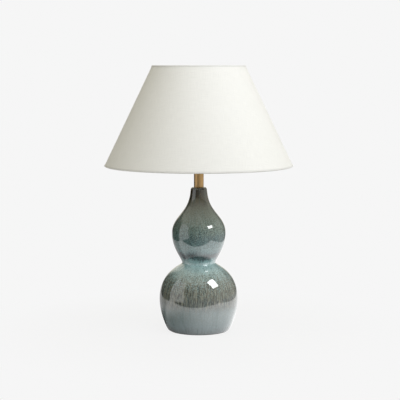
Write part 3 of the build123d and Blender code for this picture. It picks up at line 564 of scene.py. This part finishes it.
class LAMP_OT_shade(bpy.types.Operator):
    """Roll the linen cover and its liner into a cone and bind both edges"""

    bl_idname = "lamp.shade"
    bl_label = "Shade"

    def execute(self, context):
        sizes = context.scene.lamp_shade
        low = np.array([sizes.bottom, cover_high.z - sizes.height])
        high = np.array([sizes.top, cover_high.z])
        slant = np.linalg.norm(high - low)
        up = (high - low) / slant
        out = np.array([up[1], -up[0]])
        cloth = laminated_linen(context.scene.lamp_colours)
        cover = self.skin("shade_cover", low, high, out, 0.0, sizes.cloth, cloth, sizes.seam)
        # extruded styrene sheet that stiffens the cloth: smooth, milky and half glossy on the inside
        styrene = mottled(
            "extruded_styrene", "#F3F2EC", "#EAE8DF", 60, 0.3, 0.05, Roughness=0.45, IOR=1.59
        )
        liner = self.skin("shade_lining", low, high, out, sizes.cloth, sizes.liner, styrene, 0)
        # binding cut from the same linen and folded over the edge; its colour is darkened as painted shade,
        # so that each edge shows a thin dark line
        folded = laminated_linen(context.scene.lamp_colours, "linen_binding_painted_shade", 0.88)
        top = self.binding("top_binding", high, out, -up, folded, sizes)
        bottom = self.binding("bottom_binding", low, out, up, folded, sizes)
        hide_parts("shade_fabric")
        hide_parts("shade_liner")
        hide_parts("shade_top_trim")
        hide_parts("shade_bottom_trim")
        return {"FINISHED"}

    def skin(self, name, low, high, out, depth, thickness, finish, seam):
        """Cone shell: at share s of the slant and angle a the point lies on the straight line from the
        lower to the upper edge, moved in by its depth. A lapped seam stands out a little at the back."""
        rows, columns = 25, 384
        s = np.linspace(0, 1, rows)[:, None]
        line = low + (high - low) * s
        outer = line - out * depth
        inner = (line - out * (depth + thickness))[::-1]
        profile = np.vstack([outer, inner])
        points = lathe(profile, columns)
        turn = np.tile(angles(columns), len(profile))
        radius = np.repeat(profile[:, 0], columns)
        if seam:
            lap = radius * np.abs(np.angle(np.exp(1j * (turn - TURN / 4))))
            lift = SEAM_LIFT * np.clip((seam / 2 - lap) / SEAM_SLOPE, 0, 1)
            lift[rows * columns :] = 0
            points[:, 0] += np.cos(turn) * lift
            points[:, 1] += np.sin(turn) * lift
        faces = grid_faces(len(profile), columns, True)
        piece = put(name, points, faces, finish, "shade", 30)
        self.unroll(piece, low, high)
        return piece

    def unroll(self, piece, low, high):
        """UV map in metres of the cone rolled out flat: distance from the apex, turned by the angle round
        the lamp times the sine of the cone's half angle, measured from the front."""
        mesh = piece.data
        slant = np.linalg.norm(high - low)
        sine = (low[0] - high[0]) / slant
        co = np.empty(len(mesh.vertices) * 3)
        mesh.vertices.foreach_get("co", co)
        co = co.reshape(-1, 3)
        corner = np.empty(len(mesh.loops), int)
        mesh.loops.foreach_get("vertex_index", corner)
        start = np.empty(len(mesh.polygons), int)
        mesh.polygons.foreach_get("loop_start", start)
        total = np.empty(len(mesh.polygons), int)
        mesh.polygons.foreach_get("loop_total", total)
        x, y = co[corner, 0], co[corner, 1]
        turn = np.arctan2(x, -y)
        # a corner on the seam takes the side on which its face lies
        middle = np.add.reduceat(x, start) / total
        side = np.repeat(np.sign(middle), total)
        turn = np.where((np.abs(turn) > 3) & (np.sign(turn) != side), turn + side * TURN, turn)
        reach = np.hypot(x, y) / sine
        uv = np.stack([reach * np.sin(turn * sine), -reach * np.cos(turn * sine)], 1)
        layer = mesh.uv_layers.new(name="cloth")
        layer.data.foreach_set("uv", uv.astype(np.float32).ravel())

    def binding(self, name, edge, out, into, finish, sizes):
        """Strip of cloth carried round one edge: a band outside, a fold round the ring and a return to the
        liner. Fine gathers make its outer face swell by a tenth of a millimetre."""
        skin, t = sizes.cloth + sizes.liner, sizes.binding
        room = sizes.ring + RING_ROOM
        back = -skin - 2 * room
        outer = rounded(
            [(t, sizes.band), (t, -t), (back - t, -t), (back - t, 2 * room), (-skin - 1.2 * t, sizes.hem)],
            [t, room + t, t],
        )
        inner = rounded(
            [(0, sizes.band), (0, 0), (back, 0), (back, 2 * room), (-skin, sizes.hem)],
            [0.05 * MM, room, 0.1 * MM],
        )
        section = np.vstack([outer, inner[::-1]])
        profile = edge + section[:, :1] * out + section[:, 1:] * into
        # the lower strip is the upper one's mirror image, so its profile is turned round to face outwards
        if into[1] > 0:
            profile = profile[::-1]
        columns = 384
        points = lathe(profile, columns)
        turn = np.tile(angles(columns), len(profile))
        many, few = GATHER_COUNTS
        folds = GATHER * (np.sin(many * turn) + np.sin(few * turn + 1.3))
        points[:, 0] += np.cos(turn) * folds
        points[:, 1] += np.sin(turn) * folds
        piece = put(name, points, grid_faces(len(profile), columns, True), finish, "shade", 50)
        self.unroll(piece, np.array([sizes.bottom, 0]), np.array([sizes.top, sizes.height]))
        return piece


class LAMP_OT_neck(bpy.types.Operator):
    """Draw the brass neck tube with its softly rounded ends"""

    bl_idname = "lamp.neck"
    bl_label = "Neck tube"

    def execute(self, context):
        outer, wall, edge = tube_high.x, 1.2 * MM, 0.35 * MM
        corners = [
            (outer - wall / 2, tube_low.z),
            (outer, tube_low.z),
            (outer, tube_high.z),
            (outer - wall, tube_high.z),
            (outer - wall, tube_low.z),
            (outer - wall / 2, tube_low.z),
        ]
        profile = rounded(corners, [edge] * 4)[:-1]
        # brass tube, darkened and wiped back along its length: a soft, dull gold with fine upright lines
        # (grain 0.3 x 25 mm), darker where the tarnish stays
        colour = tuple(context.scene.lamp_colours.brass)
        brass = metal("satin_antique_brass", colour, 0.4, (3000, 3000, 40), 0.3)
        tube = turned("brass_neck", profile, 192, brass, "base", 40)
        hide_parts("neck_tube")
        for name in ("tube_cap", "finial"):
            frame["nodes"][name].data.materials[0] = brass
        return {"FINISHED"}


class LAMP_OT_felt(bpy.types.Operator):
    """Lay the felt pad under the foot"""

    bl_idname = "lamp.felt"
    bl_label = "Felt pad"

    def execute(self, context):
        radius, low, high = felt_high.x, felt_low.z, felt_high.z
        profile = rounded([(0, low), (radius, low), (radius, high), (0, high)], [0.5 * MM, 0.5 * MM])
        steps = np.linspace(0, 1, 14)[1:-1, None]
        under = profile[:1] + (profile[1:2] - profile[:1]) * steps
        over = profile[-2:-1] + (profile[-1:] - profile[-2:-1]) * steps
        profile = np.vstack([profile[:1], under, profile[1:-1], over, profile[-1:]])
        # needled wool felt: dark green, quite matt, with a pale fuzz at grazing angles; its 0.02 mm fibres
        # are drawn as 1 mm tufts
        wool = mottled(
            "needled_wool_felt", "#3B4038", "#22261F", 900, 0.2, 0.3, Roughness=0.97, Sheen_Weight=0.3
        )
        points = lathe(profile, 128)
        pad = put("felt_pad", points, grid_faces(len(profile), 128, False), wool, "base", 50)
        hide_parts("base_felt")
        return {"FINISHED"}


class LAMP_OT_metalwork(bpy.types.Operator):
    """Give the frame's own pieces their finishes"""

    bl_idname = "lamp.metalwork"
    bl_label = "Fittings"

    def execute(self, context):
        finishes = {
            # zinc plated from a barrel: an even, slightly cloudy grey without a direction
            "zinc_steel": metal("zinc_plated_steel", linear("#C9CBCB"), 0.35, (900, 900, 900), 0.2),
            # drawn brass, polished and lacquered: bright gold with hair-fine lines along the draw
            "polished_brass": metal("polished_brass", linear("#E3C077"), 0.14, (2500, 2500, 60), 0.12),
            # steel wire and plate under a thin brass plating: paler gold, a little less sharp
            "brass_plate": metal("brass_plated_steel", linear("#D9B870"), 0.2, (1500, 1500, 90), 0.15),
            # thread rolled in thin aluminium: white metal with fine lines round the cap
            "aluminium": metal("rolled_aluminium", linear("#DADADA"), 0.25, (60, 60, 2500), 0.1),
            # solder that froze in a drop: dull grey, finely wrinkled
            "solder": metal("tinned_solder", linear("#B9BBBD"), 0.4, (700, 700, 700), 0.25),
            # moulded rubber: nearly black, soft sheen, faint bloom
            "rubber": mottled("moulded_rubber", "#1E1E1D", "#151514", 1200, 0.3, 0.05, Roughness=0.7),
            # vulcanised paper sleeve: brown, matt, flecked with fibres
            "fibre_board": mottled("vulcanised_fibre", "#9C8464", "#7D694E", 700, 0.3, 0.1, Roughness=0.85),
            # pressed phenolic: brown-black with a low polish from its mould
            "phenolic": mottled("moulded_phenolic", "#2A2421", "#1B1715", 500, 0.3, 0.02, Roughness=0.32),
            # black glass fused into the cap: glossy, with slight waves
            "black_glass": mottled(
                "black_vitreous_glass", "#17171A", "#0E0E10", 300, 0.3, 0.02, Roughness=0.12
            ),
            # glass coated white inside: milky body under a clear glossy skin
            "opal_glass": mottled(
                "opal_glass", "#F6F4EE", "#EFEDE6", 60, 0.3, 0.01, Roughness=0.1, Coat_Weight=0.5
            ),
            # powder baked on wire: white, half gloss, with a fine orange-peel skin
            "white_enamel": mottled(
                "white_powder_coat", "#EDECE7", "#E2E1DB", 1100, 0.3, 0.03, Roughness=0.4
            ),
        }
        slots = {piece["node"]: piece["material_slot"] for piece in frame["record"]["subparts"]}
        for name, part in frame["nodes"].items():
            if slots[name] in finishes:
                part.data.materials[0] = finishes[slots[name]]
        return {"FINISHED"}


def smooth(value, low, high):
    """Smooth step: 0 below low, 1 above high and 3t^2 - 2t^3 between."""
    t = np.clip((value - low) / (high - low), 0, 1)
    return t * t * (3 - 2 * t)


def heading(azimuth):
    """Level direction at an azimuth in degrees from the camera's side, positive to the right."""
    turn = np.radians(azimuth)
    return np.stack([np.sin(turn), -np.cos(turn)], -1)


class LAMP_OT_studio(bpy.types.Operator):
    """Set up the pale floor, the soft light, the cards and the camera"""

    bl_idname = "lamp.studio"
    bl_label = "Studio"

    def shader(self, name):
        """Empty material of the studio."""
        material = bpy.data.materials.new(name)
        material.use_nodes = True
        material.node_tree.nodes.clear()
        return material, material.node_tree

    def floor(self, studio):
        """Disc about the lamp. Its level in reflections is painted light and shade: a painted contact shade
        at the foot's left, a painted pool of light towards the key light and a painted shadow of the lamp on
        the far side from that light."""
        radius = np.concatenate([[0.0], np.geomspace(0.05, FLOOR_RADIUS, 60)])[::-1]
        profile = np.stack([radius, np.full_like(radius, -FLOOR_DROP)], 1)
        columns = 144
        points = lathe(profile, columns)
        reach = np.hypot(points[:, 0], points[:, 1])
        azimuth = np.degrees(np.arctan2(points[:, 0], -points[:, 1]))
        # painted light and shade in the floor's reflected level: contact shade at the foot's left and back, a
        # pool of light towards the key light and the lamp's shadow at its left back
        foot = 0.2 + 0.8 * smooth(azimuth, -70, 30) * (1 - smooth(azimuth, 150, 180))
        foot = foot + (1 - foot) * smooth(reach, 0.1, 0.26)
        lit = 1 + 0.6 * np.clip(np.cos(np.radians(azimuth - 60)), 0, 1) * smooth(reach, 0.05, 0.16)
        shaded = smooth(azimuth, -178, -160) * (1 - smooth(azimuth, -108, -88))
        shaded = shaded * (0.85 - 0.25 * smooth(reach, 0.15, 0.3))
        levels = studio.floor_glow * foot * lit * (1 - shaded)
        material, tree = self.shader("pale_paper_floor")
        path = add(tree, "ShaderNodeLightPath")
        camera = path.outputs["Is Camera Ray"]
        glossy, through = path.outputs["Is Glossy Ray"], path.outputs["Is Transmission Ray"]
        mirror = add(tree, "ShaderNodeMath", {0: glossy, 1: through}, operation="MAXIMUM").outputs[0]
        seen = add(tree, "ShaderNodeMath", {0: camera, 1: mirror}, operation="MAXIMUM").outputs[0]
        place = add(tree, "ShaderNodeTexCoord").outputs["Object"]
        distance = add(tree, "ShaderNodeVectorMath", {0: place}, operation="LENGTH").outputs["Value"]
        near = add(
            tree,
            "ShaderNodeMapRange",
            {0: distance, 1: 0.2, 2: 0.55, 3: studio.shadow, 4: 0.0},
            interpolation_type="SMOOTHSTEP",
        ).outputs[0]
        # the camera sees paper white, of which a share near the lamp is reflected light that it can shade
        paper = add(tree, "ShaderNodeMath", {0: PALE_BACKGROUND, 1: near}, operation="SUBTRACT").outputs[0]
        glow = add(tree, "ShaderNodeMath", {0: paper, 1: camera}, operation="MULTIPLY").outputs[0]
        level = add(tree, "ShaderNodeAttribute", attribute_name="level").outputs["Fac"]
        inputs = {0: mirror, 1: level, 2: glow}
        glow = add(tree, "ShaderNodeMath", inputs, operation="MULTIPLY_ADD").outputs[0]
        grey = add(tree, "ShaderNodeMath", {0: near, 1: camera}, operation="MULTIPLY").outputs[0]
        # matt surfaces are lit by a floor of pale grey, darker in the lamp's shadow
        inputs = {0: seen, 1: -0.8, 2: 0.8}
        bounce = add(tree, "ShaderNodeMath", inputs, operation="MULTIPLY_ADD").outputs[0]
        grey = add(tree, "ShaderNodeMath", {0: grey, 1: bounce}, operation="ADD").outputs[0]
        matt = add(tree, "ShaderNodeBsdfDiffuse", {0: grey}).outputs[0]
        light = add(tree, "ShaderNodeEmission", {1: glow}).outputs[0]
        both = add(tree, "ShaderNodeAddShader", {0: matt, 1: light}).outputs[0]
        add(tree, "ShaderNodeOutputMaterial", {0: both})
        faces = grid_faces(len(radius), columns, False)
        put("studio_floor", points, faces, material, levels=levels)

    def card(self, name, points, faces, levels, lights=False):
        """Card that shows in reflections, with its own brightness at each point. One that lights matt
        surfaces too is a warm white."""
        colour = WARM_CARD if lights else (1, 1, 1, 1)
        material, tree = self.shader(name)
        level = add(tree, "ShaderNodeAttribute", attribute_name="level").outputs["Fac"]
        light = add(tree, "ShaderNodeEmission", {0: colour, 1: level}).outputs[0]
        add(tree, "ShaderNodeOutputMaterial", {0: light})
        card = put(name, points, faces, material, levels=levels)
        card.visible_camera = False
        card.visible_diffuse = lights
        card.visible_transmission = False
        card.visible_shadow = False

    def room(self, azimuth, elevation=0.0):
        """Level of the room by azimuth: dark at the left, dim behind the camera, bright at the right, dark
        again at the back right and paper white behind the lamp. The paper reaches further round to the left
        the higher it is."""
        azimuth = np.where(azimuth < -120, azimuth - 0.75 * np.clip(elevation, 0, 40), azimuth)
        stops = [-180, -172, -163, -105, -40, -15, 15, 45, 105, 125, 146, 158, 170, 180]
        levels = [0.85, 0.75, 0.05, 0.02, 0.12, 0.22, 0.38, 0.62, 0.72, 0.55, 0.16, 0.15, 0.7, 0.85]
        return np.interp(azimuth, stops, levels)

    def cards(self, studio):
        """Dome of the room, table edge, white panel at the left and soft box at the right."""
        rows, columns = 31, 144
        azimuth = np.linspace(-180, 180, columns + 1)[:-1]
        elevation = np.linspace(0, 90, rows)[:, None]
        level = self.room(azimuth[None], elevation)
        level = level + (CEILING_LEVEL - level) * smooth(elevation, 30, 58)
        slope = np.radians(elevation)[:, :, None]
        ring = ROOM_RADIUS * np.cos(slope) * heading(azimuth)[None]
        rise = np.broadcast_to(ROOM_RADIUS * np.sin(slope), (rows, columns, 1))
        dome = np.concatenate([ring, rise], 2).reshape(-1, 3)
        self.card("room_dome", dome, grid_faces(rows, columns, False), level, lights=True)
        # the pale table ends at three straight edges, each given by its outward direction and distance, and
        # this card shows the room in place of the floor beyond them
        azimuth = np.linspace(-150, 176, 164)
        out = heading(azimuth)
        reach = np.full(len(azimuth), TABLE_END)
        for normal, distance in TABLE_EDGES:
            facing = np.maximum(out @ np.array(normal), 0.01)
            reach = np.minimum(reach, distance / facing)
        flat = np.full((len(azimuth), 1), 0.5 * MM)
        edge = np.hstack([out * reach[:, None], flat])
        far = np.hstack([out * TABLE_END, flat])
        faces = grid_faces(2, len(azimuth), False)[:-1]
        self.card("table_edge", np.vstack([edge, far]), faces, np.tile(self.room(azimuth), 2))
        # the panel runs along the table from its left edge, then stands up with its sides leaning outwards
        columns = 12
        low = np.linspace(-41, -91, columns)
        high = np.linspace(-52, -97, columns)
        start = np.minimum(TABLE_LEFT / -np.sin(np.radians(low)), 0.95)
        on_table = np.full(columns, 1 * MM)
        panel = [
            np.column_stack([heading(low) * start[:, None], on_table]),
            np.column_stack([heading(low) * PANEL_DISTANCE, on_table]),
            np.column_stack([heading(high) * PANEL_DISTANCE, np.full(columns, PANEL_HEIGHT)]),
        ]
        faces = grid_faces(3, columns, False)
        faces = faces[faces[:, 0] % columns != columns - 1]
        self.card("white_panel", np.vstack(panel), faces, np.full(3 * columns, studio.panel_glow))
        # the soft box faces the lower gourd, turned a little in its own plane
        centre = np.array(SOFT_BOX_PLACE)
        ahead = np.array([0, 0, 0.15]) - centre
        ahead /= np.linalg.norm(ahead)
        side = np.cross(ahead, [0, 0, 1])
        side /= np.linalg.norm(side)
        rise = np.cross(side, ahead)
        roll = math.radians(SOFT_BOX_ROLL)
        right = SOFT_BOX_HALF_WIDTH * (math.cos(roll) * side + math.sin(roll) * rise)
        up = SOFT_BOX_HALF_HEIGHT * (math.cos(roll) * rise - math.sin(roll) * side)
        corners = centre + np.array([-right - up, right - up, right + up, up - right])
        self.card("soft_box_face", corners, np.array([[0, 1, 2, 3]]), np.full(4, studio.box_glow))

    def light(self, name, place, target, width, height, power, colour):
        """Soft rectangular light aimed at a point. In reflections the cards show in its place."""
        data = bpy.data.lights.new(name, "AREA")
        data.shape = "RECTANGLE"
        data.size, data.size_y = width, height
        data.energy = power
        data.color = colour
        lamp = bpy.data.objects.new(name, data)
        lamp.location = place
        x, y, z = np.array(target) - np.array(place)
        lamp.rotation_euler = (math.atan2(math.hypot(x, y), -z), 0, math.atan2(y, x) - TURN / 4)
        lamp.visible_glossy = False
        bpy.context.scene.collection.objects.link(lamp)

    def sky(self, studio):
        """World: paper white where it is seen or mirrored, a softer warm white where it lights the lamp."""
        world = bpy.data.worlds.new("studio")
        bpy.context.scene.world = world
        world.use_nodes = True
        tree = world.node_tree
        tree.nodes.clear()
        path = add(tree, "ShaderNodeLightPath").outputs
        seen = path["Is Camera Ray"]
        for ray in ("Is Glossy Ray", "Is Transmission Ray"):
            seen = add(tree, "ShaderNodeMath", {0: seen, 1: path[ray]}, operation="MAXIMUM").outputs[0]
        level = studio.ambient
        warm = (level, level * 0.985, level * 0.93, 1)
        white = (PALE_BACKGROUND, PALE_BACKGROUND, PALE_BACKGROUND, 1)
        colour = add(tree, "ShaderNodeMix", {0: seen, 6: warm, 7: white}, data_type="RGBA").outputs[2]
        backdrop = add(tree, "ShaderNodeBackground", {0: colour}).outputs[0]
        add(tree, "ShaderNodeOutputWorld", {0: backdrop})

    def execute(self, context):
        studio = context.scene.lamp_studio
        self.floor(studio)
        self.cards(studio)
        self.sky(studio)
        box = SOFT_BOX_PLACE
        self.light("soft_box", box, (0, 0, 0.3), 0.68, 0.77, studio.key_power, DAYLIGHT)
        self.light("front_fill", (0.58, -1.44, 1.54), (0, 0, 0.4), 1.0, 1.0, studio.fill_power, DAYLIGHT)
        self.light("left_fill", (-1.25, -0.45, 1.35), (0, 0, 0.45), 1.0, 1.0, studio.left_power, WARM_LIGHT)
        self.light("back_fill", (0.4, 1.8, 1.5), (0, 0, 0.4), 1.0, 1.0, studio.back_power, DAYLIGHT)
        lens = bpy.data.cameras.new("camera")
        lens.sensor_width = CAMERA_SENSOR
        lens.lens = CAMERA_LENS
        camera = bpy.data.objects.new("camera", lens)
        camera.location = CAMERA_PLACE
        camera.rotation_euler = (math.radians(90 - CAMERA_DIP), 0, 0)
        context.scene.collection.objects.link(camera)
        context.scene.camera = camera
        context.scene.view_settings.view_transform = "Standard"
        return {"FINISHED"}


class LAMP_PT_panel(bpy.types.Panel):
    """Lists the lamp's pieces and its sizes"""

    bl_label = "Double gourd lamp"
    bl_idname = "LAMP_PT_panel"
    bl_space_type = "VIEW_3D"
    bl_region_type = "UI"
    bl_category = "Lamp"

    def draw(self, context):
        for operator in OPERATORS:
            self.layout.operator(operator.bl_idname)
        for name in GROUPS:
            box = self.layout.box()
            settings = getattr(context.scene, name)
            for key in settings.bl_rna.properties.keys():
                if key not in {"rna_type", "name"}:
                    box.prop(settings, key)


OPERATORS = (
    LAMP_OT_studio,
    LAMP_OT_felt,
    LAMP_OT_glazed_body,
    LAMP_OT_neck,
    LAMP_OT_metalwork,
    LAMP_OT_shade,
)
GROUPS = {
    "lamp_body": LampBodySizes,
    "lamp_shade": LampShadeSizes,
    "lamp_colours": LampColours,
    "lamp_studio": LampStudio,
}
CLASSES = (*GROUPS.values(), *OPERATORS, LAMP_PT_panel)


def register():
    """Registers the classes and gives each scene its settings."""
    for kind in CLASSES:
        bpy.utils.register_class(kind)
    for name, group in GROUPS.items():
        setattr(bpy.types.Scene, name, PointerProperty(type=group))


def unregister():
    """Takes the settings and the classes away again."""
    for name in GROUPS:
        delattr(bpy.types.Scene, name)
    for kind in reversed(CLASSES):
        bpy.utils.unregister_class(kind)


def main():
    """Makes every piece in order."""
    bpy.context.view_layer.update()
    register()
    bpy.ops.lamp.studio()
    bpy.ops.lamp.felt()
    bpy.ops.lamp.glazed_body()
    bpy.ops.lamp.metalwork()
    bpy.ops.lamp.neck()
    bpy.ops.lamp.shade()


if __name__ == "__main__":
    main()
